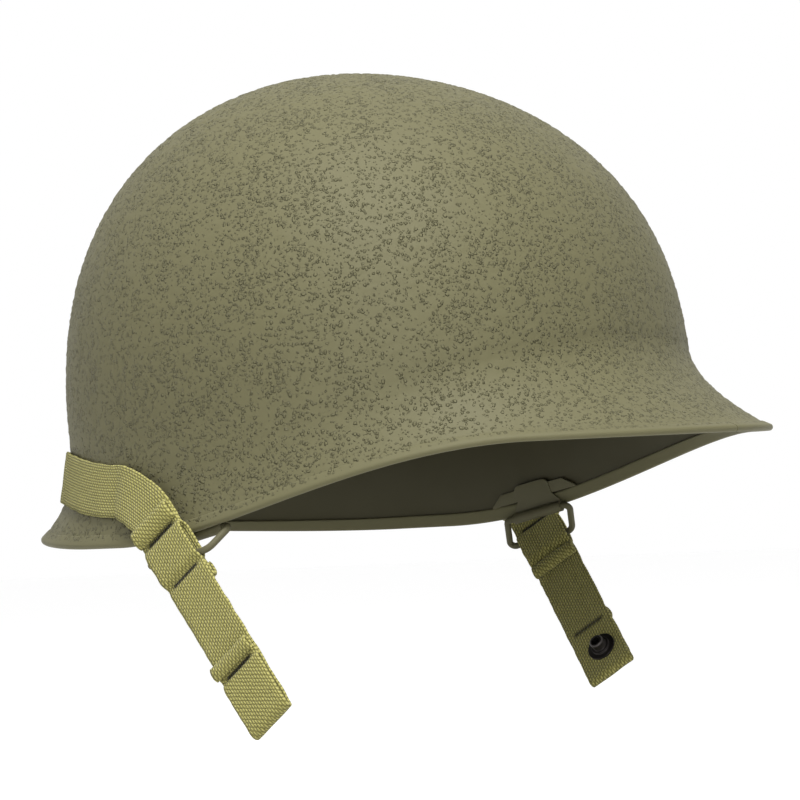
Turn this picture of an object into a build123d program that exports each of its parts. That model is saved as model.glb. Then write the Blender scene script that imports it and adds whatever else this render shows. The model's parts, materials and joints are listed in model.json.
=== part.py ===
from build123d import *
from math import cos, degrees, pi, radians, sin, sqrt
import os

os.makedirs("parts", exist_ok=True)

# Steel pot: the frame's origin is in the head opening, at its widest station and at the level of
# the lowest edge. The front faces -Y, the wearer's right is -X and the crown is up.
front_reach = 143.5
rear_reach = 137.0
half_width = 119.6
crown_height = 168.0
sheet = 1.1

# Drawn wall above the flare: how far inside the edge it stands, and how it leans and closes to the crown
front_flare = 38.5
rear_flare = 20.0
side_flare = 5.1
wall_front_reach = front_reach - front_flare
wall_rear_reach = rear_reach - rear_flare
wall_half_width = half_width - side_flare
wall_height = 45.0
wall_height_swing = 24.0
crown_setback = 16.0
wall_slope_share = 0.034
plan_power_share = 2.11
edge_power_share = 2.0
crown_power_share = 2.43

# Edge line: high over the brow, low behind the ears, a little higher again at the nape
brow_lift = 30.5
nape_lift = 5.0
lift_angle_start = 37.0
lift_angle_end = 113.0
nape_angle_start = 122.0
flare_front_height = 35.0
flare_side_height = 22.0
flare_rear_height = 32.0
flare_power_share = 1.85

# Edging strip folded over the sheet
trim_sheet = 0.7
trim_outer_leg = 3.7
trim_inner_leg = 4.0
trim_gap = 0.06

# Bale bracket, measured along the edge line and up the wall
bracket_angle = 94.8
bracket_half_length = 18.5
bracket_thickness = 1.0
bracket_wall_gap = 0.4
ear_height = 9.2
ear_end_height = 5.4
ear_foot = 4.8
leaf_half_length = 7.5
leaf_height = 11.0
leaf_thickness = 0.8
knuckle_half_length = 10.5
knuckle_bore_radius = 1.30
knuckle_wall = 0.75
knuckle_below = 1.0

# Bale of round wire, its ends meeting in the knuckle and its bar lagging to the rear
wire_radius = 1.25
bale_half_width = 14.0
bale_drop = 12.0
bale_lag = 5.0
bale_top_radius = 2.0
bale_front_radius = 4.0
bale_rear_radius = 1.9
bale_end_gap = 0.1

# Webbing, and the pocket that two layers of it make round the bale's bar
webbing_width = 19.0
webbing = 1.4
layer_gap = 0.05
pocket_gap = 0.45
strap_forward = 2.2
pocket_rise_right = 1.4
pocket_rise_left = -1.2
pocket_reach = 7.8
tack_reach = 9.4
cuff_length = 8.6
cuff_height = 3.2
fold_radius = 0.9

# Snap strap: lengths along the strap, measured down from the middle of its pocket
fold_start_length = 46.0
third_tack_length = 52.0
snap_strap_length = 77.5
snap_place_length = 64.5
fold_bulge = 1.5

# Male snap and the eyelet that holds it
snap_flange_radius = 5.6
snap_flange_thickness = 0.7
snap_collar_radius = 3.7
snap_collar_height = 0.9
snap_post_radius = 2.75
snap_post_height = 3.4
snap_bore_radius = 1.6
eyelet_flange_radius = 4.2
eyelet_flange_thickness = 0.5
eyelet_tube_radius = 1.5
eyelet_tube_wall = 0.35
eyelet_reach = 2.0

# Chin strap round the back of the pot, and where its right and left halves meet
run_height = 24.5
run_fall = 6.0
run_gap = 0.4
run_start_angle = 114.0
run_level_angle = 146.0
run_station_step = 3.0
turn_top = 12.6
turn_lead = 5.2
chin_end_reach = 16.0
buckle_angle = 186.0
free_length = 60.0
turn_stations = 8
turn_pull_share = 0.7
turn_bow = 2.0

# Buckle, hook fitting and tip behind the pot
frame_wire = 2.2
frame_length = 15.0
frame_play = 1.2
frame_round = 0.5
hook_thickness = 1.0
hook_width = 13.0
hook_slot_length = 5.0
hook_slot_place = 15.5
hook_bar = 2.5
claw_gap = 0.3
wrap_radius = 2.3
hem_length = 14.0
tip_length = 12.0
tip_sheet = 0.6

# Per side: how far the bale is pulled outward, how far the sewn straps lean out below and
# slope forward, in degrees, and how far the pocket has risen past the bar
swing = {"right": 53.0, "left": 38.0}
lean_out = {"right": 9.0, "left": -34.0}
slope_forward = {"right": 28.0, "left": 26.0}
pocket_rise = {"right": pocket_rise_right, "left": pocket_rise_left}


def smooth_share(u):
    """Cubic ease from 0 to 1."""
    u = min(max(u, 0.0), 1.0)
    return u * u * (3 - 2 * u)


def edge_height(angle):
    """Height of the edge line at a plan angle, 0 at the front and 180 at the nape."""
    angle = abs((angle + 180.0) % 360.0 - 180.0)
    brow = smooth_share((lift_angle_end - angle) / (lift_angle_end - lift_angle_start))
    nape = smooth_share((angle - nape_angle_start) / (180.0 - nape_angle_start))
    return brow_lift * brow + nape_lift * nape


def plan_radius(angle, front, rear, side, power):
    """Radius of a rounded plan made of a front and a rear half with a shared width."""
    c = cos(radians(angle))
    s = sin(radians(angle))
    reach = front if c > 0 else rear
    return (abs(c / reach) ** power + abs(s / side) ** power) ** (-1 / power)


def flare_height(angle):
    """How high above the edge the flare begins."""
    angle = abs((angle + 180.0) % 360.0 - 180.0)
    if angle < 90.0:
        return flare_side_height + (flare_front_height - flare_side_height) * smooth_share(1 - angle / 90.0)
    return flare_side_height + (flare_rear_height - flare_side_height) * smooth_share(angle / 90.0 - 1)


def wall_radius(angle, height):
    """Radius of the drawn wall and dome without its flare, and its rearward shift."""
    c = cos(radians(angle))
    spring = wall_height + wall_height_swing * c
    rise_share = min(max((height - spring) / (crown_height - spring), 0.0), 1.0)
    radius = plan_radius(angle, wall_front_reach, wall_rear_reach, wall_half_width, plan_power_share)
    radius *= sqrt(max(1 - rise_share ** crown_power_share, 0.0))
    radius += wall_slope_share * (1 + c) * max(spring - height, 0.0)
    return radius, crown_setback * rise_share


def skin_point(angle, height):
    """Point of the pot's outer face at a plan angle and a height."""
    foot = edge_height(angle)
    radius, shift = wall_radius(angle, height)
    edge_radius = plan_radius(angle, front_reach, rear_reach, half_width, edge_power_share) - trim_sheet
    flare = edge_radius - wall_radius(angle, foot)[0]
    share = min(max(1 - (height - foot) / flare_height(angle), 0.0), 1.1)
    radius += flare * share ** flare_power_share
    return Vector(radius * sin(radians(angle)) * -1, -radius * cos(radians(angle)) + shift, height)


# A small step for slopes, in degrees and as a share of the crown height
slope_step = 0.05


def skin_frame(angle, height):
    """Point, outward normal, tangent along the ring and tangent up the wall."""
    rise = slope_step * sheet
    point = skin_point(angle, height)
    along = (skin_point(angle + slope_step, height) - skin_point(angle - slope_step, height)).normalized()
    up = (skin_point(angle, height + rise) - skin_point(angle, height - rise)).normalized()
    normal = along.cross(up).normalized()
    if normal.dot(Vector(point.X, point.Y, sheet)) < 0:
        normal = normal * -1
    return point, normal, along, up


ring_count = 40
ring_angles = [360.0 * i / ring_count for i in range(ring_count)]
level_shares = [0, 0.03, 0.07, 0.12, 0.18, 0.25, 0.33, 0.41, 0.5, 0.59, 0.68, 0.77, 0.86, 0.93]


def level_height(angle, share):
    """Height of a ring: close together at the edge, following a quarter wave to the crown."""
    foot = edge_height(angle)
    return foot + (crown_height - foot) * sin(share * pi / 2)


def ring(share, depth):
    """Closed curve round the pot at a level, a depth inside its outer face."""
    points = []
    for angle in ring_angles:
        point, normal, _, _ = skin_frame(angle, level_height(angle, share))
        points.append(point - normal * depth)
    return Wire([Edge.make_spline(points, periodic=True)])


def skin(depth):
    """Smooth face from the edge to the crown."""
    crown = Vertex(0, crown_setback, crown_height - depth)
    return Shell.make_loft([ring(share, depth) for share in level_shares] + [crown])


def closed_solid(faces):
    """Solid from faces that meet all round."""
    return Solid(Shell(faces))


def save(name, piece):
    """Label a finished piece and write it."""
    piece.part.label = name
    export_step(piece.part, f"parts/{name}.step")


def mirrored(piece):
    """Mirror image across the middle plane."""
    with BuildPart() as other:
        add(piece.part)
        mirror(about=Plane.YZ, mode=Mode.REPLACE)
    return other


def save_side(name, side, piece):
    """Write a piece made on the wearer's right, or its mirror image for the left."""
    save(f"{name}_{side}", piece if side == "right" else mirrored(piece))


# Shell
outer_skin = skin(0)
inner_skin = skin(sheet)
edge_face = Face.make_surface_from_curves(ring(0, 0).edge(), ring(0, sheet).edge())
with BuildPart() as shell:
    add(closed_solid(outer_skin.faces() + inner_skin.faces() + [edge_face]))
save("shell", shell)


# Rim trim
def trim_ring(above, outward):
    """Closed curve beside the sheet's edge: above it along the wall, outward of its middle."""
    points = []
    for angle in ring_angles:
        foot = edge_height(angle)
        point, normal, _, up = skin_frame(angle, foot)
        if above > 0:
            point, normal, _, _ = skin_frame(angle, foot + above * up.Z)
        else:
            point += up * above
        points.append(point + normal * (outward - sheet / 2))
    return Wire([Edge.make_spline(points, periodic=True)])


def trim_skin(places):
    """Faces through rings at a row of places of the strip's section."""
    return list(Shell.make_loft([trim_ring(*place) for place in places]).faces())


trim_inside = sheet / 2 + trim_gap
trim_outside = trim_inside + trim_sheet
nose_turns = [0, 45, 90, 135, 180]
nose = [
    (-trim_outside * sin(radians(turn)), trim_outside * cos(radians(turn))) for turn in nose_turns
]
bend = [
    (-trim_inside * sin(radians(turn)), trim_inside * cos(radians(turn))) for turn in nose_turns
]
trim_faces = trim_skin(nose) + trim_skin(bend)
for leg, side_sign in ((trim_outer_leg, 1), (trim_inner_leg, -1)):
    for depth in (trim_inside, trim_outside):
        trim_faces += trim_skin([(leg * share, side_sign * depth) for share in (0, 0.5, 1)])
    trim_faces += trim_skin([(leg, side_sign * trim_inside), (leg, side_sign * trim_outside)])
with BuildPart() as rim_trim:
    add(closed_solid(trim_faces))
save("rim_trim", rim_trim)


# Frame of a bale bracket on the wearer's right, at the middle of the sheet's edge
edge_at_bracket = edge_height(bracket_angle)
bracket_point, bracket_normal, _, _ = skin_frame(bracket_angle, edge_at_bracket)
bracket_origin = bracket_point - bracket_normal * (sheet / 2)
ahead = skin_point(bracket_angle - 1, edge_height(bracket_angle - 1))
behind = skin_point(bracket_angle + 1, edge_height(bracket_angle + 1))
forward = (ahead - behind).normalized()
wall_above = skin_point(bracket_angle, edge_at_bracket + ear_height) - bracket_point
wall_up = (wall_above - forward * wall_above.dot(forward)).normalized()
inward = wall_up.cross(forward)
level_plane = Plane(origin=bracket_origin, x_dir=forward, z_dir=wall_up)
face_plane = Plane(origin=bracket_origin, x_dir=forward, z_dir=inward)
end_plane = Plane(origin=bracket_origin, x_dir=wall_up, z_dir=forward)
wall_bend_radius = rear_reach ** 2 / half_width

plate_outside = sheet / 2 + bracket_wall_gap
plate_inside = plate_outside + bracket_thickness
knuckle_radius = knuckle_bore_radius + knuckle_wall
knuckle_inward = plate_inside + knuckle_radius
knuckle_middle = bracket_origin - wall_up * knuckle_below + inward * knuckle_inward


# Bale brackets
def bale_bracket():
    """Ears and folded leaf on the wall, and the knuckle that they carry below the edge."""
    with BuildPart() as bracket:
        with BuildSketch(level_plane):
            with Locations((0, wall_bend_radius)):
                Circle(wall_bend_radius - plate_outside)
                Circle(wall_bend_radius - plate_inside, mode=Mode.SUBTRACT)
            Rectangle(2 * bracket_half_length, 2 * leaf_height, mode=Mode.INTERSECT)
        extrude(amount=leaf_height)
        with BuildSketch(face_plane):
            with BuildLine():
                Polyline(
                    (-bracket_half_length, -ear_foot),
                    (-bracket_half_length, -ear_end_height),
                    (-bracket_half_length + ear_foot, -ear_height),
                    (bracket_half_length - ear_foot, -ear_height),
                    (bracket_half_length, -ear_end_height),
                    (bracket_half_length, -ear_foot),
                    close=True,
                )
            make_face()
        extrude(amount=knuckle_inward, mode=Mode.INTERSECT)
        with BuildSketch(face_plane.offset(plate_inside)):
            with BuildLine():
                Polyline(
                    (-knuckle_half_length, knuckle_below),
                    (-knuckle_half_length, -knuckle_wall),
                    (-leaf_half_length, -ear_foot),
                    (-leaf_half_length, -leaf_height),
                    (leaf_half_length, -leaf_height),
                    (leaf_half_length, -ear_foot),
                    (knuckle_half_length, -knuckle_wall),
                    (knuckle_half_length, knuckle_below),
                    close=True,
                )
            leaf = make_face()
            fillet(leaf.vertices().group_by(Axis.Y)[0], leaf_half_length / 3)
        extrude(amount=leaf_thickness)
        with BuildSketch(end_plane):
            with Locations((-knuckle_below, -knuckle_inward)):
                Circle(knuckle_radius)
        extrude(amount=knuckle_half_length, both=True)
        with BuildSketch(end_plane):
            with Locations((-knuckle_below, -knuckle_inward)):
                Circle(knuckle_bore_radius)
        extrude(amount=knuckle_half_length, both=True, mode=Mode.SUBTRACT)
    return bracket


for side in swing:
    save_side("bale_bracket", side, bale_bracket())


# Directions at the knuckle: down and outward, both square to its axis
down = (forward * forward.Z - Vector(0, 0, 1)).normalized()
out = forward.cross(down)
if out.X > 0:
    out = out * -1


def turned(angle):
    """Direction that hangs down at 0 degrees and points outward at 90."""
    return down * cos(radians(angle)) + out * sin(radians(angle))


# Swivel bales
def bale(side):
    """Wire loop whose two ends meet inside the knuckle."""
    drop = turned(swing[side])
    loop_plane = Plane(origin=knuckle_middle, x_dir=forward, z_dir=forward.cross(drop))
    with BuildPart() as loop:
        with BuildLine(loop_plane):
            FilletPolyline(
                (bale_end_gap / 2, 0),
                (bale_half_width, 0),
                (bale_half_width - bale_lag, bale_drop),
                (-bale_half_width - bale_lag, bale_drop),
                (-bale_half_width, 0),
                (-bale_end_gap / 2, 0),
                radius=(bale_top_radius, bale_front_radius, bale_rear_radius, bale_top_radius),
            )
        end_face = Plane(origin=loop_plane.from_local_coords((bale_end_gap / 2, 0, 0)), z_dir=forward)
        with BuildSketch(end_face):
            Circle(wire_radius)
        sweep()
    return loop


for side in swing:
    save_side("bale", side, bale(side))


# Sewn straps on a bale's bar, built flat: x down the strap from the pocket's middle, y outward
def strap_axes(side):
    """Middle of the pocket, and the directions down the strap and outward from it."""
    bar = knuckle_middle + turned(swing[side]) * bale_drop - forward * bale_lag
    slope = radians(slope_forward[side])
    down_strap = turned(lean_out[side]) * cos(slope) + forward * sin(slope)
    pocket = bar + forward * strap_forward - down_strap * pocket_rise[side]
    return pocket, down_strap, turned(lean_out[side] + 90)


def placed(side, piece):
    """A flat strap's piece, set on a side's bale."""
    pocket, down_strap, outward = strap_axes(side)
    place = Plane(origin=pocket, x_dir=down_strap, z_dir=down_strap.cross(outward))
    with BuildPart() as copy:
        with Locations(place.location):
            add(piece.part)
    return copy


pocket_height = wire_radius + pocket_gap + webbing / 2
snap_seat = Plane(origin=(snap_place_length, -layer_gap, 0), x_dir=(1, 0, 0), z_dir=(0, -1, 0))
eyelet_seat = Plane(origin=(snap_place_length, webbing + layer_gap, 0), x_dir=(1, 0, 0), z_dir=(0, -1, 0))

# Outer layer over the bar, folded up on itself at the bottom, with a roll at each end
middle = webbing / 2
outer_middle = middle + webbing - layer_gap
bulge_middle = middle + webbing + fold_bulge
with BuildPart() as snap_strap:
    with BuildSketch(Plane.XY):
        with BuildLine():
            FilletPolyline(
                (-tack_reach - cuff_length / 2, middle),
                (-tack_reach, middle),
                (-pocket_reach, pocket_height),
                (pocket_reach, pocket_height),
                (tack_reach, middle),
                (snap_strap_length - webbing, middle),
                radius=fold_radius,
            )
        trace(line_width=webbing)
        with BuildLine():
            FilletPolyline(
                (snap_place_length, middle),
                (snap_strap_length - webbing, middle),
                (snap_strap_length - webbing / 2, (middle + bulge_middle) / 2),
                (snap_strap_length - webbing, bulge_middle),
                (snap_place_length, bulge_middle),
                (third_tack_length, outer_middle),
                (fold_start_length + cuff_height / 2, outer_middle),
                radius=fold_radius,
            )
        trace(line_width=webbing)
        with Locations((-tack_reach - cuff_length / 2, cuff_height / 2)):
            SlotOverall(cuff_length, cuff_height)
        with Locations(((fold_start_length + third_tack_length) / 2, webbing - layer_gap + cuff_height / 2)):
            SlotOverall(third_tack_length - fold_start_length, cuff_height)
    extrude(amount=webbing_width / 2, both=True)
    with BuildSketch(snap_seat):
        Circle(eyelet_tube_radius + layer_gap)
    extrude(amount=-webbing - fold_bulge / 2, mode=Mode.SUBTRACT)

# Inner layer round the bar, with its sewn end rolled under
inner_middle = middle + layer_gap
with BuildPart() as chin_strap_end:
    with BuildSketch(Plane.XY):
        with BuildLine():
            FilletPolyline(
                (-turn_top + layer_gap, -inner_middle),
                (-tack_reach, -inner_middle),
                (-pocket_reach, -pocket_height),
                (pocket_reach, -pocket_height),
                (tack_reach, -inner_middle),
                (chin_end_reach - cuff_height / 2, -inner_middle),
                radius=fold_radius,
            )
        trace(line_width=webbing)
        with Locations((chin_end_reach - cuff_length / 2, -layer_gap - cuff_height / 2)):
            SlotOverall(cuff_length, cuff_height)
    extrude(amount=webbing_width / 2, both=True)

# Male snap: flange on the webbing, collar and post with a hollow middle
with BuildPart() as snap_stud:
    height = 0
    for radius, thickness in (
        (snap_flange_radius, snap_flange_thickness),
        (snap_collar_radius, snap_collar_height),
        (snap_post_radius, snap_post_height),
    ):
        with BuildSketch(snap_seat.offset(height)):
            Circle(radius)
        extrude(amount=thickness)
        height += thickness
    with BuildSketch(snap_seat):
        Circle(snap_bore_radius)
    extrude(amount=height, mode=Mode.SUBTRACT)
    post_end = snap_stud.edges().group_by(Axis.Y)[0].sort_by(SortBy.RADIUS)[-1]
    fillet(post_end, snap_collar_height)

# Eyelet: flange between the two layers and a tube down into the stud
with BuildPart() as snap_eyelet:
    with BuildSketch(eyelet_seat):
        Circle(eyelet_flange_radius)
    extrude(amount=-eyelet_flange_thickness)
    with BuildSketch(eyelet_seat.offset(-eyelet_flange_thickness)):
        Circle(eyelet_tube_radius)
    extrude(amount=eyelet_flange_thickness + webbing + eyelet_reach)
    with BuildSketch(eyelet_seat.offset(-eyelet_flange_thickness)):
        Circle(eyelet_tube_radius - eyelet_tube_wall)
    extrude(amount=eyelet_flange_thickness + webbing + eyelet_reach, mode=Mode.SUBTRACT)

for side in swing:
    save_side("snap_strap", side, placed(side, snap_strap))
    save_side("chin_strap_end", side, placed(side, chin_strap_end))
    save_side("snap_stud", side, placed(side, snap_stud))
    save_side("snap_eyelet", side, placed(side, snap_eyelet))


# Webbing that follows the wall
def band(centres, across, thickness, width):
    """Flat strip along a row of centres, each with the direction across it."""
    last = len(centres) - 1
    sections = []
    for i, (centre, wide) in enumerate(zip(centres, across)):
        travel = centres[min(i + 1, last)] - centres[max(i - 1, 0)]
        thick = travel.cross(wide).normalized() * (thickness / 2)
        reach = wide * (width / 2)
        corners = [reach + thick, reach - thick, -thick - reach, thick - reach]
        sections.append(Wire.make_polygon([centre + corner for corner in corners]))
    return Solid.make_loft(sections, ruled=True)


def run_station(angle, stand):
    """Middle of the webbing and the direction across it, a distance off the wall."""
    from_start = 180.0 - run_start_angle - abs(angle - 180.0)
    level_share = smooth_share(from_start / (run_level_angle - run_start_angle))
    height = run_height - run_fall * (1 - level_share)
    low = skin_point(angle, height - webbing_width / 2)
    high = skin_point(angle, height + webbing_width / 2)
    across = (high - low).normalized()
    along = skin_frame(angle, height)[2]
    outward = along.cross(across).normalized()
    if outward.dot(Vector(low.X, low.Y, 0)) < 0:
        outward = outward * -1
    return (low + high) / 2 + outward * stand, across


run_stand = run_gap + webbing / 2
bar_stand = run_stand + wrap_radius
wrap_stand = bar_stand + wrap_radius
hem_stand = run_stand + webbing + pocket_gap
free_stand = hem_stand + tip_sheet
buckle_middle = run_station(buckle_angle, bar_stand)[0]
degrees_per_length = degrees(1 / sqrt(buckle_middle.X ** 2 + buckle_middle.Y ** 2))
wrap_turns = [30, 60, 90, 120, 150]


def band_through(places, thickness=webbing, width=webbing_width):
    """Band along places given as plan angle and distance off the wall."""
    stations = [run_station(angle, stand) for angle, stand in places]
    return band([centre for centre, _ in stations], [across for _, across in stations], thickness, width)


def run_places(bar_angle, clear, fall, length, low_stand):
    """Along the wall, round a bar at the end, and back over the outside."""
    steps = round((bar_angle - run_start_angle) / run_station_step)
    reach = bar_angle - run_start_angle
    places = [(run_start_angle + reach * i / steps, run_stand) for i in range(steps + 1)]
    for turn in wrap_turns:
        bulge = wrap_radius * sin(radians(turn)) * degrees_per_length
        places.append((bar_angle + bulge, bar_stand - wrap_radius * cos(radians(turn))))
    places.append((bar_angle, wrap_stand))
    steps = round(length / wrap_radius / 2)
    for i in range(1, steps + 1):
        back = length * i / steps
        stand = wrap_stand - (wrap_stand - low_stand) * smooth_share((back - clear) / fall)
        places.append((bar_angle - back * degrees_per_length, stand))
    return places


# Right half sewn round the hook fitting, left half round the buckle's middle bar
hook_bar_place = hook_slot_place + (hook_slot_length + hook_bar) / 2
hook_bar_angle = buckle_angle - hook_bar_place * degrees_per_length
left_bar_angle = 360.0 - buckle_angle
run_right = run_places(hook_bar_angle, hook_bar, hem_length / 2, hem_length, hem_stand)
run_left = run_places(left_bar_angle, frame_length / 2, hem_length / 2, free_length, free_stand)
for side, places in (("right", run_right), ("left", run_left)):
    with BuildPart() as chin_strap_run:
        add(band_through(places))
    save_side("chin_strap_run", side, chin_strap_run)


# Twisted part of the chin strap between the wall and the bale
def chin_strap_turn(side):
    """Band that leaves the wall and bends down behind the snap strap."""
    start, start_across = run_station(run_start_angle - slope_step, run_stand)
    start_travel = start - run_station(run_start_angle, run_stand)[0]
    pocket, down_strap, outward = strap_axes(side)
    finish = pocket - down_strap * (turn_top + turn_lead) - outward * inner_middle
    finish_across = down_strap.cross(outward)
    if finish_across.dot(forward) < 0:
        finish_across = finish_across * -1
    pull = (finish - start).length * turn_pull_share
    start_travel = start_travel.normalized() * pull
    finish_travel = down_strap * pull
    centres = []
    across = []
    for i in range(turn_stations + 1):
        u = i / turn_stations
        centre = start * (1 + 2 * u) * (1 - u) ** 2 + finish * u * u * (3 - 2 * u)
        centre += start_travel * u * (1 - u) ** 2 - finish_travel * u * u * (1 - u)
        centre += out * turn_bow * sin(u * pi) * (1 - u) ** 2
        travel = (finish - start) * 6 * u * (1 - u)
        travel += start_travel * (1 - u) * (1 - 3 * u) + finish_travel * u * (3 * u - 2)
        travel = travel.normalized()
        wide = start_across * (1 - u) + finish_across * u
        centres.append(centre)
        across.append((wide - travel * wide.dot(travel)).normalized())
    centres.append(finish + down_strap * turn_lead)
    across.append(finish_across)
    with BuildPart() as turn:
        add(band(centres, across, webbing, webbing_width))
    return turn


for side in swing:
    save_side("chin_strap_turn", side, chin_strap_turn(side))


# Metal parts behind the pot: x runs from the buckle towards the right half of the strap
def rear_plane(place):
    """Plane of the metal parts at a distance from the buckle's middle."""
    centre, across = run_station(buckle_angle - place * degrees_per_length, bar_stand)
    ahead = run_station(buckle_angle - (place + tip_sheet) * degrees_per_length, bar_stand)[0]
    travel = (ahead - centre).normalized()
    return Plane(origin=centre, x_dir=travel, z_dir=travel.cross(across))


frame_width = webbing_width + 2 * (frame_play + frame_wire)
bar_place = (frame_length - frame_wire) / 2
with BuildPart() as strap_buckle:
    with BuildSketch(rear_plane(0)):
        RectangleRounded(frame_length, frame_width, frame_wire)
        with Locations((-bar_place / 2, 0), (bar_place / 2, 0)):
            Rectangle(bar_place - frame_wire, webbing_width + 2 * frame_play, mode=Mode.SUBTRACT)
    extrude(amount=frame_wire / 2, both=True)
    fillet(strap_buckle.edges(), frame_round)
save("strap_buckle", strap_buckle)

# Hook fitting: loop for the webbing, and a claw curled round the buckle's far bar
hook_plane = rear_plane(hook_slot_place - hook_slot_length / 2)
side_view = Plane(origin=hook_plane.origin, x_dir=hook_plane.x_dir, z_dir=-hook_plane.y_dir)
claw_reach = (frame_wire + hook_thickness) / 2 + claw_gap
claw_middle = bar_place - hook_slot_place + hook_slot_length / 2
with BuildPart() as strap_hook:
    with BuildSketch(side_view):
        with BuildLine():
            FilletPolyline(
                (-hook_bar / 2, 0),
                (claw_middle + claw_reach + hook_thickness, 0),
                (claw_middle + claw_reach - hook_thickness / 2, claw_reach),
                (claw_middle - claw_reach, claw_reach),
                (claw_middle - claw_reach, -claw_reach),
                (claw_middle + hook_thickness / 2, -claw_reach),
                radius=hook_thickness,
            )
        trace(line_width=hook_thickness)
    extrude(amount=hook_width / 2, both=True)
    slot_width = webbing_width + 2 * frame_play
    with BuildSketch(hook_plane):
        with Locations((hook_slot_length / 2, 0)):
            RectangleRounded(hook_slot_length + 2 * hook_bar, slot_width + 2 * hook_bar, hook_bar)
            Rectangle(hook_slot_length, slot_width, mode=Mode.SUBTRACT)
    extrude(amount=hook_thickness / 2, both=True)
save("strap_hook", strap_hook)


# Crimped tip on the free end, made beside the left half's places and mirrored with it
def tip_band(start, finish, cover):
    """Band round the free end, thicker than the webbing by a cover on each face."""
    lengths = [start + (finish - start) * share for share in (0, 1 / 3, 2 / 3, 1)]
    places = [(left_bar_angle - length * degrees_per_length, free_stand) for length in lengths]
    return band_through(places, webbing + 2 * cover, webbing_width + 2 * cover)


tip_cover = layer_gap + tip_sheet
with BuildPart() as strap_tip:
    add(tip_band(free_length - tip_length, free_length + tip_cover, tip_cover))
    add(
        tip_band(free_length - tip_length - tip_cover, free_length + layer_gap, layer_gap),
        mode=Mode.SUBTRACT,
    )
save("strap_tip", mirrored(strap_tip))
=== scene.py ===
import json
from contextlib import contextmanager
from math import cos, degrees, pi, radians, sin, sqrt

import bpy
from mathutils import Matrix, Vector, noise


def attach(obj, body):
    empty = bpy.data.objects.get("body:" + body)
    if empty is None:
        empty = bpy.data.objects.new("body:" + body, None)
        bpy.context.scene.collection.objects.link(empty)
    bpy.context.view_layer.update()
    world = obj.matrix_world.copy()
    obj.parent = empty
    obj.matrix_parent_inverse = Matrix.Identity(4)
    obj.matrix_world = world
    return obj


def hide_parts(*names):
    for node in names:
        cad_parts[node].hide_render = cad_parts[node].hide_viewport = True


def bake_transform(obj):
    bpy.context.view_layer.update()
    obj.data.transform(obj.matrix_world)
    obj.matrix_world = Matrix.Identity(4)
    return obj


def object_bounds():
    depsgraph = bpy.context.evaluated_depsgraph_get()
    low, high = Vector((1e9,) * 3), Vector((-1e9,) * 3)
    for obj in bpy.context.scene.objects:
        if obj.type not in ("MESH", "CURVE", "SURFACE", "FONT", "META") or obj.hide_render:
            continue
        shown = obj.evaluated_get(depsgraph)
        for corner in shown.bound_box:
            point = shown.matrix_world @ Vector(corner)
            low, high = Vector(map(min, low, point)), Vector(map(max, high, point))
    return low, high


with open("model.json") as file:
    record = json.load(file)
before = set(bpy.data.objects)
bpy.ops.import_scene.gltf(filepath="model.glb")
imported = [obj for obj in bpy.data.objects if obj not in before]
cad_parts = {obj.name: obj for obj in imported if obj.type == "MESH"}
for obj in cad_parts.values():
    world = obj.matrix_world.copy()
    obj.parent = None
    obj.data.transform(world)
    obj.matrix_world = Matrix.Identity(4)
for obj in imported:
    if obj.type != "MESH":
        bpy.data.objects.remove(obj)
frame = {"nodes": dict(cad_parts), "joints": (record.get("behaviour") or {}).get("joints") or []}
cad_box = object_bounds()
joints = {joint["name"]: joint for joint in frame["joints"]}
millimetre = 0.001

# The pot's edge, in millimetres and degrees from the front: its plan, and its rise over brow and nape
front_reach, rear_reach, half_width = 143.5, 137.0, 119.6
edge_power = 2.0
brow_lift, nape_lift = 30.5, 5.0
lift_start, lift_end, nape_start = 37.0, 113.0, 122.0

# The pot's crown, its sheet, and its wall, which is straight up to the height where the crown starts
crown_height = 168.0
sheet = 1.1
wall_front_reach, wall_rear_reach, wall_half_width = 105.0, 117.0, 114.5
wall_height, wall_height_swing = 45.0, 24.0
wall_slope_share = 0.034
crown_setback = 16.0
plan_power, crown_power = 2.11, 2.43

# The flare from the wall out to the edge, and how far its curve goes on below the edge
flare_front_height, flare_side_height, flare_rear_height = 35.0, 22.0, 32.0
flare_power = 1.85
flare_overrun = 1.1

# The edging strip
trim_sheet = 0.7
trim_outer_leg, trim_inner_leg = 3.7, 4.0

# Webbing, and how the two sewn straps hang: their angles, and the pocket's place on the bale's bar
webbing_width, webbing = 19.0, 1.4
lean_out = {"right": 9.0, "left": -34.0}
slope_forward = {"right": 28.0, "left": 26.0}
strap_forward = {"right": -0.4, "left": 1.0}
pocket_rise = {"right": 1.4, "left": -1.2}

# The chin strap's run round the wall: its height behind, how much lower it starts, and the angles of its rise
run_gap = 0.4
run_height, run_fall = 24.5, 6.0
run_start, run_level = 114.0, 146.0


# The pot's form
def ease(u):
    """Smooth step from 0 to 1."""
    u = min(max(u, 0.0), 1.0)
    return u * u * (3 - 2 * u)


def from_front(angle):
    """How far round from the front an angle is, on either side."""
    return abs((angle + 180.0) % 360.0 - 180.0)


def rim_height(angle):
    """Height of the pot's edge at a plan angle, 0 at the front and 90 on the wearer's right."""
    angle = from_front(angle)
    brow = ease((lift_end - angle) / (lift_end - lift_start))
    nape = ease((angle - nape_start) / (180.0 - nape_start))
    return brow_lift * brow + nape_lift * nape


def plan_radius(angle, front, rear, side, power):
    """Radius of an oval in plan, fuller than an ellipse where the power is over 2."""
    c, s = cos(radians(angle)), sin(radians(angle))
    reach = front if c > 0 else rear
    return (abs(c / reach) ** power + abs(s / side) ** power) ** (-1 / power)


def flare_height(angle):
    """Height of the flare over the edge, least at the sides."""
    angle = from_front(angle)
    end_height = flare_front_height if angle < 90.0 else flare_rear_height
    return flare_side_height + (end_height - flare_side_height) * ease(abs(angle / 90.0 - 1))


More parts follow.
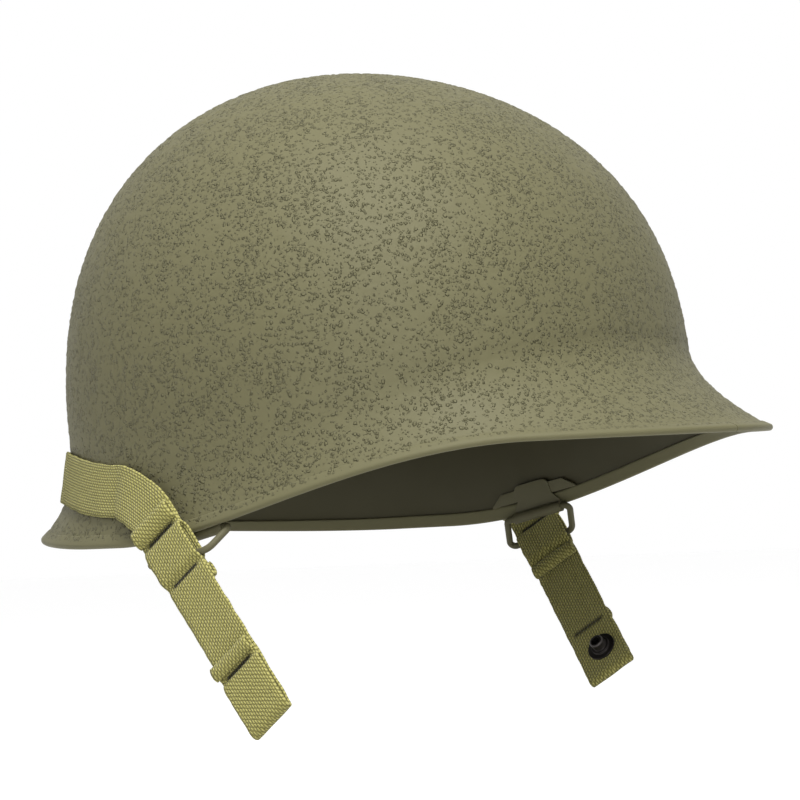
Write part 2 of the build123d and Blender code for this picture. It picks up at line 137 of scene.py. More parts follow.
def wall_radius(angle, height):
    """Radius of the wall without its flare, and how far its middle is set back."""
    c = cos(radians(angle))
    spring = wall_height + wall_height_swing * c
    rise = min(max((height - spring) / (crown_height - spring), 0.0), 1.0)
    radius = plan_radius(angle, wall_front_reach, wall_rear_reach, wall_half_width, plan_power)
    radius *= sqrt(max(1 - rise**crown_power, 0.0))
    radius += wall_slope_share * (1 + c) * max(spring - height, 0.0)
    return radius, crown_setback * rise


def wall_point(angle, height):
    """Point of the drawn steel's outer face."""
    foot = rim_height(angle)
    radius, shift = wall_radius(angle, height)
    edge = plan_radius(angle, front_reach, rear_reach, half_width, edge_power) - trim_sheet
    flare = edge - wall_radius(angle, foot)[0]
    share = min(max(1 - (height - foot) / flare_height(angle), 0.0), flare_overrun)
    radius += flare * share**flare_power
    a = radians(angle)
    return Vector((-radius * sin(a), -radius * cos(a) + shift, height))


slope_step = 0.05


def wall_frame(angle, height):
    """Point, outward normal, direction along the ring and direction up the wall."""
    point = wall_point(angle, height)
    along = (wall_point(angle + slope_step, height) - wall_point(angle - slope_step, height)).normalized()
    up = (wall_point(angle, height + slope_step) - wall_point(angle, height - slope_step)).normalized()
    normal = along.cross(up).normalized()
    if normal.dot(Vector((point.x, point.y, 1.0))) < 0:
        normal.negate()
    return point, normal, along, up


# Making pieces. A laid piece keeps three notes on each point, named "lay", which its finish reads
seam_gap, copy_gap = 0.004, 0.002
laid_sharp_angle, copy_sharp_angle = 60.0, 35.0
bevel_width, bevel_angle, bevel_segments = 0.12, 40.0, 2
quad_bend, quad_skew = 2.0, 40.0
end_tolerance = 0.0005
round_step = 15


def only(piece):
    """Leave one piece selected and active."""
    bpy.ops.object.select_all(action="DESELECT")
    piece.select_set(True)
    bpy.context.view_layer.objects.active = piece


@contextmanager
def editing(piece):
    """Edit mode on one piece, with all of it selected."""
    only(piece)
    bpy.ops.object.mode_set(mode="EDIT")
    bpy.ops.mesh.select_all(action="SELECT")
    yield
    bpy.ops.object.mode_set(mode="OBJECT")


def dress(piece, material):
    """Give a piece its one finish."""
    piece.data.materials.clear()
    piece.data.materials.append(material)


def laid_grid(name, columns, rows, place, material):
    """Flat grid laid into shape: place(u, v) gives each point, in millimetres, and its notes."""
    bpy.ops.object.select_all(action="DESELECT")
    bpy.ops.mesh.primitive_grid_add(x_subdivisions=columns, y_subdivisions=rows, size=2.0)
    piece = bpy.context.object
    piece.name = name
    notes = piece.data.attributes.new("lay", "FLOAT_VECTOR", "POINT")
    for vertex, note in zip(piece.data.vertices, notes.data):
        point, note.vector = place((vertex.co.x + 1) / 2, (vertex.co.y + 1) / 2)
        vertex.co = point * millimetre
    with editing(piece):
        bpy.ops.mesh.remove_doubles(threshold=seam_gap * millimetre)
    dress(piece, material)
    return piece


def close_end(piece, measure):
    """Cap the ring of points whose first note is this measure."""
    only(piece)
    bpy.ops.object.mode_set(mode="EDIT")
    bpy.ops.mesh.select_mode(type="VERT")
    bpy.ops.mesh.select_all(action="DESELECT")
    bpy.ops.object.mode_set(mode="OBJECT")
    for vertex, note in zip(piece.data.vertices, piece.data.attributes["lay"].data):
        vertex.select = abs(note.vector.x - measure) < end_tolerance
    bpy.ops.object.mode_set(mode="EDIT")
    bpy.ops.mesh.edge_face_add()
    bpy.ops.object.mode_set(mode="OBJECT")


def turn_outward(piece):
    """Faces outward, smooth but for the sharpest turns."""
    with editing(piece):
        bpy.ops.mesh.normals_make_consistent(inside=False)
    bpy.ops.object.shade_smooth_by_angle(angle=radians(laid_sharp_angle))


def finished_copy(node, material, body):
    """Cleaned copy of a frame piece with its edges eased."""
    source = frame["nodes"][node]
    piece = source.copy()
    piece.data = source.data.copy()
    piece.name = f"{node}_finished"
    piece.parent = None
    bpy.context.scene.collection.objects.link(piece)
    with editing(piece):
        bpy.ops.mesh.remove_doubles(threshold=copy_gap * millimetre)
        bpy.ops.mesh.tris_convert_to_quads(
            face_threshold=radians(quad_bend), shape_threshold=radians(quad_skew)
        )
    bevel = piece.modifiers.new("eased edges", "BEVEL")
    bevel.width = bevel_width * millimetre
    bevel.segments = bevel_segments
    bevel.limit_method = "ANGLE"
    bevel.angle_limit = radians(bevel_angle)
    bpy.ops.object.modifier_apply(modifier=bevel.name)
    bpy.ops.object.shade_smooth_by_angle(angle=radians(copy_sharp_angle))
    dress(piece, material)
    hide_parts(node)
    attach(piece, body)


# Nodes of the finishes
def feed(node, values):
    """Fill a node's inputs: another node's output is linked, and any other value is set."""
    for name, value in values.items():
        if isinstance(value, bpy.types.NodeSocket):
            node.id_data.links.new(value, node.inputs[name])
        else:
            node.inputs[name].default_value = value


def add_node(tree, kind, inputs=None, **settings):
    """Shader node with its settings made and its inputs filled."""
    node = tree.nodes.new(f"ShaderNode{kind}")
    for name, value in settings.items():
        setattr(node, name, value)
    feed(node, inputs or {})
    return node


def math(tree, operation, *values):
    """Output of a sum on numbers and other nodes' outputs."""
    return add_node(tree, "Math", dict(enumerate(values)), operation=operation).outputs[0]


def group_socket(group, name, kind, value=None, out=False):
    made = group.interface.new_socket(
        name=name, in_out="OUTPUT" if out else "INPUT", socket_type=f"NodeSocket{kind}"
    )
    if value is not None:
        made.default_value = value


# Grains: pitch in millimetres, share kept, least and greatest radius as shares of the pitch, and height
grain_sizes = ((1.6, 0.50, 0.36, 0.58, 1.0), (0.95, 0.38, 0.34, 0.56, 0.65))
grain_top = 0.45
ragged_scale, ragged_push = 900.0, 1.3
patch_scale = 60.0


def grit_group():
    """Grains of cork under paint: raised pebbles in loose clusters, from 0 to 1, on Object coordinates."""
    group = bpy.data.node_groups.new("grit under paint", "ShaderNodeTree")
    group_socket(group, "Where", "Float", 1.0)
    group_socket(group, "Height", "Float", out=True)
    inputs = group.nodes.new("NodeGroupInput")
    outputs = group.nodes.new("NodeGroupOutput")
    place = add_node(group, "TexCoord").outputs["Object"]
    ragged = add_node(group, "TexNoise", {"Vector": place, "Scale": ragged_scale}).outputs["Color"]
    centred = add_node(group, "VectorMath", {0: ragged, 1: (0.5, 0.5, 0.5)}, operation="SUBTRACT")
    push = {0: centred.outputs[0], "Scale": ragged_push * millimetre}
    pushed = add_node(group, "VectorMath", push, operation="SCALE")
    moved = add_node(group, "VectorMath", {0: place, 1: pushed.outputs[0]}, operation="ADD")
    patches = add_node(group, "TexNoise", {"Vector": place, "Scale": patch_scale, "Detail": 2.0})
    heights = []
    for pitch, kept, smallest, largest, tall in grain_sizes:
        layout = {"Vector": moved.outputs[0], "Scale": 1 / (pitch * millimetre)}
        cells = add_node(group, "TexVoronoi", layout)
        chances = add_node(group, "SeparateColor", {0: cells.outputs["Color"]})
        sizes = {"Value": chances.outputs[0], "To Min": smallest, "To Max": largest}
        radius = add_node(group, "MapRange", sizes).outputs[0]
        from_middle = math(group, "DIVIDE", cells.outputs["Distance"], radius)
        slope = {"Value": from_middle, "From Min": 1.0, "From Max": grain_top}
        dome = add_node(group, "MapRange", slope, interpolation_type="SMOOTHSTEP").outputs[0]
        limit = math(group, "ADD", patches.outputs[0], kept - 0.5)
        present = math(group, "LESS_THAN", chances.outputs[1], limit)
        heights.append(math(group, "MULTIPLY", math(group, "MULTIPLY", dome, present), tall))
    highest = math(group, "MAXIMUM", *heights)
    feed(outputs, {"Height": math(group, "MULTIPLY", highest, inputs.outputs["Where"])})
    return group


def uneven_group():
    """Paint that is a little lighter and darker from place to place."""
    group = bpy.data.node_groups.new("uneven paint", "ShaderNodeTree")
    group_socket(group, "Color", "Color", (0.5, 0.5, 0.5, 1))
    group_socket(group, "Amount", "Float", 0.1)
    group_socket(group, "Color", "Color", out=True)
    group_socket(group, "Roughness", "Float", out=True)
    inputs = group.nodes.new("NodeGroupInput")
    outputs = group.nodes.new("NodeGroupOutput")
    place = add_node(group, "TexCoord").outputs["Object"]
    clouds = {"Vector": place, "Scale": 45.0, "Detail": 6.0, "Roughness": 0.65}
    broad = add_node(group, "TexNoise", clouds).outputs[0]
    swing = math(group, "MULTIPLY", math(group, "SUBTRACT", broad, 0.5), inputs.outputs["Amount"])
    tint = {"Value": math(group, "ADD", swing, 1.0), "Color": inputs.outputs["Color"]}
    rough = {"Value": broad, "To Min": 0.55, "To Max": 0.72}
    feed(outputs, {"Color": add_node(group, "HueSaturation", tint).outputs[0]})
    feed(outputs, {"Roughness": add_node(group, "MapRange", rough).outputs[0]})
    return group


grit = grit_group()
uneven = uneven_group()


# Finishes
paint_unevenness, brass_unevenness = 0.12, 0.5
skin_height = 0.05


def new_material(name, color):
    material = bpy.data.materials.new(name)
    material.use_nodes = True
    material.diffuse_color = (*color, 1)
    return material, material.node_tree, material.node_tree.nodes["Principled BSDF"]


def notes_of(tree):
    """The three notes that a laid piece keeps on its points."""
    kept = add_node(tree, "Attribute", attribute_name="lay").outputs["Vector"]
    return add_node(tree, "SeparateXYZ", {0: kept}).outputs


def painted(name, color):
    """Plain matte paint on steel; gives the material, its tone and the bump of its skin."""
    material, tree, shader = new_material(name, color)
    tone = add_node(tree, "Group", node_tree=uneven)
    feed(tone, {"Color": (*color, 1), "Amount": paint_unevenness})
    place = add_node(tree, "TexCoord").outputs["Object"]
    orange_peel = add_node(tree, "TexNoise", {"Vector": place, "Scale": 1500.0, "Detail": 2.0}).outputs[0]
    relief = {"Height": orange_peel, "Strength": 0.5, "Distance": skin_height * millimetre}
    skin = add_node(tree, "Bump", relief)
    feed(shader, {"Base Color": tone.outputs["Color"], "Roughness": tone.outputs["Roughness"]})
    feed(shader, {"Normal": skin.outputs[0], "Specular IOR Level": 0.3})
    return material, tone.outputs["Color"], skin.outputs[0]


# How light the paint is at each height of a grain: painted shade round its foot, and a slight painted
# highlight on its top
grain_rise = 0.9
painted_grain_shade = ((0.0, 1.0), (0.14, 0.74), (0.4, 0.92), (1.0, 1.05))


def gritty(name, color, inside_painted_shade_color):
    """Grit under the outside's paint, plain inside, where the hollow's shade is painted in as a darker
    colour; its notes are (angle, height or -1, grit).
    """
    material, tone, skin = painted(name, color)
    tree = material.node_tree
    _, height, coat = notes_of(tree)
    grains = add_node(tree, "Group", node_tree=grit)
    feed(grains, {"Where": coat})
    grain = grains.outputs["Height"]
    relief = {"Height": grain, "Strength": 1.0, "Distance": grain_rise * millimetre, "Normal": skin}
    coarse = add_node(tree, "Bump", relief)
    # This ramp paints shade round each grain's foot and a little light on its top
    painted_shade = add_node(tree, "ValToRGB", {"Fac": grain})
    stops = painted_shade.color_ramp.elements
    for position, _ in painted_grain_shade[1:-1]:
        stops.new(position)
    for stop, (position, value) in zip(stops, painted_grain_shade):
        stop.position = position
        stop.color = (value, value, value, 1)
    lit = add_node(tree, "HueSaturation", {"Color": tone, "Value": painted_shade.outputs[0]}).outputs[0]
    # Inside the pot the paint takes a darker colour: the hollow's shade, painted in
    face = add_node(tree, "Mix", data_type="RGBA")
    feed(face, {"A": lit, "B": (*inside_painted_shade_color, 1), "Factor": math(tree, "LESS_THAN", height, -0.5)})
    shader = tree.nodes["Principled BSDF"]
    feed(shader, {"Normal": coarse.outputs[0], "Base Color": face.outputs["Result"]})
    return material


# The weave in millimetres, then its slant and stray in stitches, its roundness, and its fuzz
row_pitch, stitch_pitch, stitch_height = 0.98, 1.7, 0.5
stitch_slant, stitch_stray = 0.3, 0.5
row_roundness, stitch_roundness = 0.9, 0.8
fuzz_height = 0.25
# How much lighter the stitch tops are painted than the painted shade in the gaps between them, and how much
# the fuzz lightens them
stitch_brightness, fuzz_brightness = 0.85, 0.35


def woven(name, color, painted_shade, tack_thread_and_groove_shade):
    """Cotton tape with rows of staggered stitches, their tops painted lighter and the gaps between them
    painted in shade, and bar tacks of dark thread with the shade of their groove painted in; its notes are
    (length, way across, bar tack).
    """
    material, tree, shader = new_material(name, color)
    along, wide, tack = notes_of(tree)
    place = add_node(tree, "TexCoord").outputs["Object"]
    wobble = add_node(tree, "TexNoise", {"Vector": place, "Scale": 500.0}).outputs[0]
    fuzz = add_node(tree, "TexNoise", {"Vector": place, "Scale": 3500.0, "Detail": 3.0}).outputs[0]
    row = math(tree, "DIVIDE", wide, row_pitch)
    row_share = math(tree, "FRACT", row)
    stitch = math(tree, "DIVIDE", along, stitch_pitch)
    stitch = math(tree, "ADD", stitch, math(tree, "MULTIPLY", math(tree, "FLOOR", row), 0.5))
    stitch = math(tree, "ADD", stitch, math(tree, "MULTIPLY", row_share, stitch_slant))
    stitch = math(tree, "ADD", stitch, math(tree, "MULTIPLY", wobble, stitch_stray))
    across_bulge = math(tree, "SINE", math(tree, "MULTIPLY", row_share, pi))
    along_bulge = math(tree, "SINE", math(tree, "MULTIPLY", math(tree, "FRACT", stitch), pi))
    round_row = math(tree, "POWER", across_bulge, row_roundness)
    bulge = math(tree, "MULTIPLY", round_row, math(tree, "POWER", along_bulge, stitch_roundness))
    relief = math(tree, "ADD", bulge, math(tree, "MULTIPLY", fuzz, fuzz_height))
    bump = {"Height": relief, "Strength": 0.9, "Distance": stitch_height * millimetre}
    # Stitch tops painted light and the gaps between stitches painted in shade
    bright = math(tree, "MULTIPLY", bulge, stitch_brightness)
    bright = math(tree, "ADD", bright, math(tree, "MULTIPLY", fuzz, fuzz_brightness))
    cotton = add_node(tree, "Mix", data_type="RGBA")
    feed(cotton, {"A": (*painted_shade, 1), "B": (*color, 1), "Factor": bright})
    # Bar tacks: dark thread, with the shade of their sunk groove painted into its colour
    sewn = add_node(tree, "Mix", data_type="RGBA")
    feed(sewn, {"A": cotton.outputs["Result"], "B": (*tack_thread_and_groove_shade, 1), "Factor": tack})
    feed(shader, {"Base Color": sewn.outputs["Result"], "Normal": add_node(tree, "Bump", bump).outputs[0]})
    feed(shader, {"Roughness": 0.95, "Specular IOR Level": 0.1, "Sheen Weight": 0.15})
    return material


def blackened(name, color):
    """Blackened brass of an uneven tone."""
    material, tree, shader = new_material(name, color)
    tone = add_node(tree, "Group", node_tree=uneven)
    feed(tone, {"Color": (*color, 1), "Amount": brass_unevenness})
    feed(shader, {"Base Color": tone.outputs["Color"], "Roughness": 0.32, "Metallic": 0.85})
    return material


# The inside's colour is the olive paint darkened as painted shade of the hollow
shell_finish = gritty("gritty olive paint", (0.138, 0.129, 0.064), inside_painted_shade_color=(0.048, 0.043, 0.018))
fitting_finish = painted("olive paint on the fittings", (0.110, 0.102, 0.054))[0]
# Webbing colours: the cotton, the painted shade between stitches, and the bar tacks' dark thread with their
# groove's shade painted in
webbing_finish = woven(
    "olive cotton webbing",
    (0.53, 0.49, 0.165),
    painted_shade=(0.085, 0.078, 0.016),
    tack_thread_and_groove_shade=(0.026, 0.024, 0.008),
)
snap_finish = blackened("blackened brass", (0.045, 0.040, 0.038))


# Steel pot, with low grains in its mesh that fade in from just under the edging's outer leg
outer_rows, inner_rows, pot_columns = 190, 28, 428
grain_size, grain_height = 1.9, 0.24
grain_from, grain_slope = 0.12, 0.3
grit_overlap, grit_fade = 1.2, 1.5


def pot_place(u, v):
    """From the crown down the outside, round the edge and up the inside."""
    angle = 360.0 * u
    row = round(v * (outer_rows + inner_rows))
    outside = row <= outer_rows
    share = 1 - row / outer_rows if outside else (row - outer_rows - 1) / (inner_rows - 1)
    foot = rim_height(angle)
    height = foot + (crown_height - foot) * sin(share * pi / 2)
    if share >= 1:
        point = Vector((0, crown_setback, crown_height))
        normal = Vector((0, 0, 1))
    else:
        point, normal, _, _ = wall_frame(angle, height)
    if not outside:
        return point - normal * sheet, (angle, -1, 0)
    from_edge = height - foot
    coat = ease((from_edge - trim_outer_leg + grit_overlap) / grit_fade)
    lift = ease((noise.noise(point / grain_size) - grain_from) / grain_slope) * grain_height * coat
    return point + normal * lift, (angle, from_edge, coat)


steel_pot = laid_grid("steel_pot", pot_columns, outer_rows + inner_rows, pot_place, shell_finish)
turn_outward(steel_pot)
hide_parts("shell")
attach(steel_pot, "pot")


# Edging folded over the steel, its two ends meeting at the front
trim_columns = 420
trim_gap = 0.06
trim_inside = sheet / 2 + trim_gap
trim_outside = trim_inside + trim_sheet
trim_corner = 0.12
trim_steps = (0.25, 0.5, 0.75, 0.975)
butt_angle = 0.1
# Outer leg under its paint: share of the leg above the edge, and how far it stands off the sheet
painted_over = ((0.99, 0.12), (0.93, 0.34), (0.8, 0.46), (0.55, 0.56), (0.28, 0.66))
# Grit on the outer leg: how dense, and from which height it fades in
trim_grit, trim_grit_from, trim_grit_fade = 0.9, 1.0, 2.0


def trim_section():
    """Places on the strip's section: (above the edge, outward of the sheet's middle)."""
    nose = [radians(turn) for turn in range(0, 181, round_step)]
    outer = [(trim_outer_leg * share, sheet / 2 + stand) for share, stand in painted_over]
    outer += [(-trim_outside * sin(t), trim_outside * cos(t)) for t in nose]
    outer += [(trim_inner_leg * share, -trim_outside) for share in trim_steps]
    inner = [(trim_inner_leg, -trim_outside + trim_corner), (trim_inner_leg, -trim_inside)]
    inner += [(0, -trim_inside), (-trim_inside, 0), (0, trim_inside)]
    inner += [(trim_outer_leg, trim_inside)]
    return outer + inner


strip_section = trim_section()


def trim_place(u, v):
    """Along the edge from the butt round to the butt again, and round the strip's section."""
    angle = butt_angle + (360.0 - 2 * butt_angle) * u
    above, outward = strip_section[round(v * len(strip_section)) % len(strip_section)]
    foot = rim_height(angle)
    point, normal, _, up = wall_frame(angle, foot)
    if above > 0:
        point, normal, _, _ = wall_frame(angle, foot + above * up.z)
    else:
        point = point + up * above
    coat = trim_grit * ease((above - trim_grit_from) / trim_grit_fade) if outward > 0 else 0
    return point + normal * (outward - sheet / 2), (angle, 0, coat)


edging = laid_grid("edging_strip", trim_columns, len(strip_section), trim_place, shell_finish)
close_end(edging, butt_angle)
close_end(edging, 360.0 - butt_angle)
turn_outward(edging)
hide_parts("rim_trim")
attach(edging, "pot")


# Metal fittings: brackets, bales, snaps, and the parts behind the pot
for side in ("right", "left"):
    finished_copy(f"bale_bracket_{side}", fitting_finish, "pot")
    finished_copy(f"bale_{side}", fitting_finish, f"bale_loop_{side}")
    finished_copy(f"snap_stud_{side}", snap_finish, f"strap_ends_{side}")
    finished_copy(f"snap_eyelet_{side}", snap_finish, f"strap_ends_{side}")
for node in ("strap_buckle", "strap_hook", "strap_tip"):
    finished_copy(node, snap_finish, "pot")


# Webbing: the steps of its section and line, the ripple of its faces and selvedges, and its bar tacks
across_steps, selvedge_steps, span_steps = 12, 3, 4
cloth_ripple, cloth_ripple_size = 0.22, 7.0
edge_ripple, edge_ripple_size, edge_ripple_power = 0.35, 3.5, 3
tack_half_width, tack_half_length = 6.9, 1.3
tack_fade, tack_sharpness = 0.8, 1.6


def smooth_line(points):
    """Points along a smooth curve through the given ones."""
    last = len(points) - 1
    line = []
    for i in range(last):
        a, b, c, d = (points[min(max(i + k, 0), last)] for k in (-1, 0, 1, 2))
        for k in range(span_steps):
            t = k / span_steps
            place = b * 2 + (c - a) * t
            place += (a * 2 - b * 5 + c * 4 - d) * t**2
            place += (b * 3 - a - c * 3 + d) * t**3
            line.append(place / 2)
    line.append(points[last])
    return line


def webbing_section():
    """Closed section of a woven tape: flat faces and round selvedges."""
    radius = webbing / 2
    flat = webbing_width / 2 - radius
    section = []
    for face in (1, -1):
        for i in range(across_steps):
            section.append((face * (flat - 2 * flat * (i / across_steps)), face * radius))
        for i in range(selvedge_steps + 1):
            turn = pi * (i + 0.5) / (selvedge_steps + 1)
            section.append((-face * (flat + radius * sin(turn)), face * radius * cos(turn)))
    return section


tape_section = webbing_section()


def laid_band(name, centres, across, tacked, measured_from):
    """Webbing laid along a row of centres; gives the piece and the measure at its far end."""
    last = len(centres) - 1
    lengths = [measured_from]
    for a, b in zip(centres, centres[1:]):
        lengths.append(lengths[-1] + (b - a).length)

    def place(u, v):
        i = round(u * last)
        wide, deep = tape_section[round(v * len(tape_section)) % len(tape_section)]
        travel = (centres[min(i + 1, last)] - centres[max(i - 1, 0)]).normalized()
        side = (across[i] - travel * across[i].dot(travel)).normalized()
        thick = travel.cross(side)
        selvedge = (2 * wide / webbing_width) ** edge_ripple_power
        sway = selvedge * edge_ripple * noise.noise(centres[i] / edge_ripple_size + side * wide)
        point = centres[i] + side * (wide + sway)
        point += thick * (deep + cloth_ripple * noise.noise(point / cloth_ripple_size))
        tack = tacked[i] * ease((tack_half_width - abs(wide)) / tack_fade)
        return point, (lengths[i], wide, tack)

    band = laid_grid(name, last, len(tape_section), place, webbing_finish)
    close_end(band, lengths[0])
    close_end(band, lengths[-1])
    turn_outward(band)
    return band, lengths[-1]


def webbing_piece(name, nodes, path, measured_from=0.0):
    """Piece of webbing along a path, which is its centres, directions across and shares of a bar tack."""
    piece, end = laid_band(name, *path, measured_from)
    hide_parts(*nodes)
    return piece, end


# Sewn straps: side views, as (down the strap from the pocket's middle, outward), and places of bar tacks
snap_strap_line = [
    (-10.7, 1.9), (-11.4, 3.0), (-13.4, 3.7), (-15.8, 3.6), (-17.6, 2.3), (-16.6, 1.0), (-13.8, 0.75),
    (-11.2, 0.6), (-8.7, 0.5), (-7.3, 1.8), (-5.5, 2.5), (0.0, 2.6), (5.5, 2.5), (7.3, 1.8), (8.7, 0.5),
    (10.3, 0.5), (11.8, 1.0), (16.0, 1.0), (24.0, 0.9), (34.0, 1.0), (44.0, 0.85), (52.0, 0.6), (60.0, 0.75),
    (70.0, 0.8), (75.6, 0.75), (76.9, 1.6), (76.2, 2.9), (73.5, 3.4), (67.0, 3.3), (60.0, 3.3), (56.0, 3.2),
    (54.3, 2.9), (53.2, 2.0), (51.6, 1.95), (50.4, 2.3), (48.2, 2.5), (46.6, 2.9), (46.3, 4.2), (47.8, 4.9),
    (49.8, 4.6), (50.9, 3.6),
]
chin_end_line = [
    (-12.6, -0.75), (-10.4, -0.55), (-8.7, -0.5), (-7.3, -1.8), (-5.5, -2.5), (0.0, -2.6), (5.5, -2.5),
    (7.3, -1.8), (8.7, -0.5), (10.3, -0.5), (12.0, -0.8), (14.6, -0.85), (16.0, -1.8), (14.6, -2.9),
    (12.2, -2.9), (10.8, -2.0),
]
snap_strap_tacks = (-9.4, 9.5, 52.4)
chin_end_tacks = (-9.5, 9.5)


def strap_frame(side):
    """Middle of the pocket in millimetres, and the directions down the strap, outward and across it."""
    swivel, swing = joints[f"bale_swivel_{side}"], joints[f"strap_swing_{side}"]
    bar = Vector(swing["pos_m"]) / millimetre
    forward = Vector(swing["axis"]).normalized()
    if forward.y > 0:
        forward.negate()
    down = (forward * forward.z - Vector((0, 0, 1))).normalized()
    out = forward.cross(down)
    if out.x * swivel["pos_m"][0] < 0:
        out.negate()
    lean, slope = radians(lean_out[side]), radians(slope_forward[side])
    fall = down * cos(lean) + out * sin(lean)
    outward = out * cos(lean) - down * sin(lean)
    down_strap = fall * cos(slope) + forward * sin(slope)
    across = forward * cos(slope) - fall * sin(slope)
    pocket = bar + forward * strap_forward[side] - down_strap * pocket_rise[side]
    return pocket, down_strap, outward, across


def tack_share(way_down, tacks):
    """How much of a bar tack lies at a place on a side view, from 0 to 1."""
    return max(ease(tack_sharpness * (1 - abs(way_down - tack) / tack_half_length)) for tack in tacks)


def sewn_path(side, line, tacks):
    """Centres, directions across and shares of a bar tack along a side view."""
    pocket, down_strap, outward, across = strap_frame(side)
    centres = smooth_line([pocket + down_strap * a + outward * b for a, b in line])
    tacked = [tack_share(place.x, tacks) for place in smooth_line([Vector((a, b, 0)) for a, b in line])]
    return centres, [across] * len(centres), tacked


for side in ("right", "left"):
    strap, _ = webbing_piece(
        f"snap_strap_{side}_webbing",
        [f"snap_strap_{side}"],
        sewn_path(side, snap_strap_line, snap_strap_tacks),
    )
    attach(strap, f"strap_ends_{side}")


# Chin strap: its run on the wall with its end round a bar of the buckle or the hook fitting
run_stand = run_gap + webbing / 2
wrap_radius = 2.3
bar_stand = run_stand + wrap_radius
wrap_stand = bar_stand + wrap_radius
buckle_angle = 186.0
hook_to_buckle = 19.25
hem_gap, free_end_lift = 0.35, 0.6
hem_stand = run_stand + webbing + hem_gap
hem_clear, hem_length = 2.5, 14.0
free_end_clear, free_end_length = 7.5, 60.0
fold_fall = 7.0


def run_station(angle, stand):
    """Middle of the webbing and the direction across it, a distance off the wall."""
    from_start = 180.0 - run_start - abs(angle - 180.0)
    height = run_height - run_fall * (1 - ease(from_start / (run_level - run_start)))
    low = wall_point(angle, height - webbing_width / 2)
    high = wall_point(angle, height + webbing_width / 2)
    across = (high - low).normalized()
    along = wall_frame(angle, height)[2]
    outward = along.cross(across).normalized()
    if outward.dot(Vector((low.x, low.y, 0))) < 0:
        outward.negate()
    return (low + high) / 2 + outward * stand, across


middle_station = run_station(buckle_angle, bar_stand)[0]
degrees_per_length = degrees(1 / sqrt(middle_station.x**2 + middle_station.y**2))
hook_bar_angle = buckle_angle - hook_to_buckle * degrees_per_length


def run_places(bar_angle, clear, length, low_stand):
    """(angle, stand) along the wall, round a bar at the end, and back over the outside."""
    reach = bar_angle - run_start
    steps = round(reach)
    places = [(run_start + reach * i / steps, run_stand) for i in range(steps + 1)]
    for turn in range(round_step, 180, round_step):
        bulge = wrap_radius * sin(radians(turn)) * degrees_per_length
        places.append((bar_angle + bulge, bar_stand - wrap_radius * cos(radians(turn))))
    steps = round(length)
    for i in range(steps + 1):
        back = length * i / steps
        stand = wrap_stand - (wrap_stand - low_stand) * ease((back - clear) / fold_fall)
        places.append((bar_angle - back * degrees_per_length, stand))
    return places


runs = {
    "right": run_places(hook_bar_angle, hem_clear, hem_length, hem_stand),
    "left": run_places(360.0 - buckle_angle, free_end_clear, free_end_length, hem_stand + free_end_lift),
}


def on_side(side, vector):
    """A vector worked out for the right side, mirrored for the left."""
    return Vector((-vector.x, vector.y, vector.z)) if side == "left" else vector


# Its turn from the wall down to the bale: a bent stretch, then a straight one into the sewn end
turn_top, turn_lead = 12.6, 5.2
turn_leave, turn_arrive, turn_bow = 0.42, 0.6, 2.4
turn_stations, lead_stations = 24, 4
bale_share = 0.6
sewn_gap = 0.05


def turn_path(side):
    """Centres and directions across of the webbing from the wall down to the sewn end."""
    start, start_across = (on_side(side, v) for v in run_station(run_start, run_stand))
    behind = on_side(side, run_station(run_start + slope_step, run_stand)[0])
    pocket, down_strap, outward, finish_across = strap_frame(side)
    finish = pocket - down_strap * (turn_top + turn_lead) - outward * (webbing / 2 + sewn_gap)
    reach = (finish - start).length
    leave = (start - behind).normalized() * reach * turn_leave
    arrive = down_strap * reach * turn_arrive
    out = Vector((outward.x, outward.y, 0)).normalized()
    centres, across = [], []
    for i in range(turn_stations + 1):
        u = i / turn_stations
        centre = start * (1 + 2 * u) * (1 - u) ** 2 + finish * u * u * (3 - 2 * u)
        centre += leave * u * (1 - u) ** 2 - arrive * u * u * (1 - u)
        centre += out * turn_bow * sin(u * pi) * (1 - u) ** 2
        centres.append(centre)
        across.append((start_across * (1 - u) + finish_across * u).normalized())
    for i in range(lead_stations):
        centres.append(finish + down_strap * turn_lead * ((i + 1) / lead_stations))
        across.append(finish_across)
    return centres, across


# Each half is cut on its turn: one part runs from the pot to the bale, the other from there to the strap
cut = round(turn_stations * bale_share)
for side, places in runs.items():
    stations = [run_station(angle, stand) for angle, stand in reversed(places)]
    run_centres, run_across = ([on_side(side, v) for v in row] for row in zip(*stations))
    turn_centres, turn_across = turn_path(side)
    centres = run_centres + turn_centres[1 : cut + 1]
    wall_part, cut_length = webbing_piece(
        f"chin_strap_{side}_wall",
        [f"chin_strap_run_{side}", f"chin_strap_turn_{side}"],
        (centres, run_across + turn_across[1 : cut + 1], [0.0] * len(centres)),
    )
    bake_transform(wall_part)
    end_centres, end_across, end_tacked = sewn_path(side, chin_end_line, chin_end_tacks)
    centres = turn_centres[cut:-1] + end_centres
    tacked = [0.0] * (len(centres) - len(end_centres)) + end_tacked
    bale_part, _ = webbing_piece(
        f"chin_strap_{side}_end",
        [f"chin_strap_end_{side}"],
        (centres, turn_across[cut:-1] + end_across, tacked),
        measured_from=cut_length,
    )
    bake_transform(bale_part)


# Floor and backdrop
floor_drop, floor_size = 60.0, 12.0
floor_color, floor_glow = (0.7, 0.7, 0.7), 0.75
world_strength = 0.28


def to_the_eye(tree):
    """1 for rays that show the backdrop: seen straight, mirrored or through glass."""
    rays = add_node(tree, "LightPath").outputs
    seen = math(tree, "MAXIMUM", rays["Is Camera Ray"], rays["Is Glossy Ray"])
    return math(tree, "MAXIMUM", seen, rays["Is Transmission Ray"])


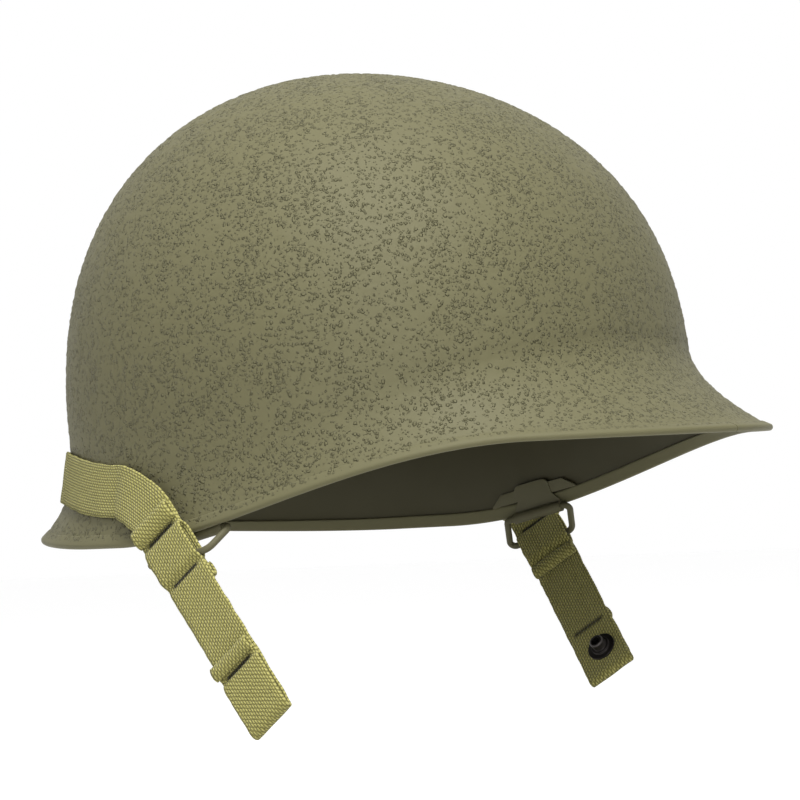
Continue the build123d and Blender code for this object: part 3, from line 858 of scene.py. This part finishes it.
def pale_finish():
    """Pale floor that reads white but for the shadow on it."""
    material, tree, shader = new_material("pale floor", floor_color)
    feed(shader, {"Base Color": (*floor_color, 1), "Roughness": 0.9, "Specular IOR Level": 0.1})
    glow = math(tree, "MULTIPLY", to_the_eye(tree), floor_glow)
    feed(shader, {"Emission Color": (1, 1, 1, 1), "Emission Strength": glow})
    return material


bpy.ops.object.select_all(action="DESELECT")
bpy.ops.mesh.primitive_plane_add(size=floor_size, location=(0, 0, cad_box[0].z - floor_drop * millimetre))
floor = bpy.context.object
floor.name = "floor"
dress(floor, pale_finish())

world = bpy.data.worlds.new("studio")
bpy.context.scene.world = world
world.use_nodes = True
shown = {"Value": to_the_eye(world.node_tree), "To Min": world_strength, "To Max": 1.0}
strength = add_node(world.node_tree, "MapRange", shown).outputs[0]
feed(world.node_tree.nodes["Background"], {"Color": (1, 1, 1, 1), "Strength": strength})


# Lights, in metres and watts: place, size and power. They aim where the camera does
aim_height = 0.080
aim = Vector((0, 0, aim_height))
lights = {
    "overhead softbox": ((-0.5, -0.45, 1.5), 0.8, 29.0),
    "rear rim light": ((-0.5, 1.2, 1.0), 0.8, 2.0),
    "broad fill": ((-1.55, -1.0, 0.6), 0.9, 10.0),
}
for name, (place, size, power) in lights.items():
    light = bpy.data.lights.new(name, "AREA")
    light.size = size
    light.energy = power
    lamp = bpy.data.objects.new(name, light)
    lamp.location = place
    lamp.rotation_euler = (aim - Vector(place)).to_track_quat("-Z", "Y").to_euler()
    bpy.context.scene.collection.objects.link(lamp)


# Camera, worked out from the photograph's rim, crown and bales. Its aim falls on a pixel of the photograph
camera_azimuth, camera_elevation, camera_roll = 32.59, -1.74, -2.9
camera_distance = 2.002
pixels_per_metre = 2720.0
aim_pixel = (388.27, 310.65)
photo_size = 800.0
sensor_width = 36.0


def photo_camera():
    az, el, roll = radians(camera_azimuth), radians(camera_elevation), radians(camera_roll)
    back = Vector((-cos(az) * cos(el), -sin(az) * cos(el), sin(el)))
    ahead = -back
    level_right = ahead.cross(Vector((0, 0, 1))).normalized()
    level_up = level_right.cross(ahead)
    right = level_right * cos(roll) + level_up * sin(roll)
    up = level_up * cos(roll) - level_right * sin(roll)
    focal_pixels = pixels_per_metre * camera_distance
    middle_ray = ahead + right * ((photo_size / 2 - aim_pixel[0]) / focal_pixels)
    middle_ray = middle_ray - up * ((photo_size / 2 - aim_pixel[1]) / focal_pixels)
    middle_ray.normalize()
    right = (right - middle_ray * right.dot(middle_ray)).normalized()
    up = right.cross(middle_ray)
    data = bpy.data.cameras.new("camera")
    data.sensor_width = sensor_width
    data.lens = focal_pixels / photo_size * sensor_width
    camera = bpy.data.objects.new("camera", data)
    turn = Matrix((right, up, -middle_ray)).transposed()
    camera.matrix_world = Matrix.Translation(aim + back * camera_distance) @ turn.to_4x4()
    bpy.context.scene.collection.objects.link(camera)
    return camera


bpy.context.scene.camera = photo_camera()
bpy.context.scene.view_settings.view_transform = "Standard"
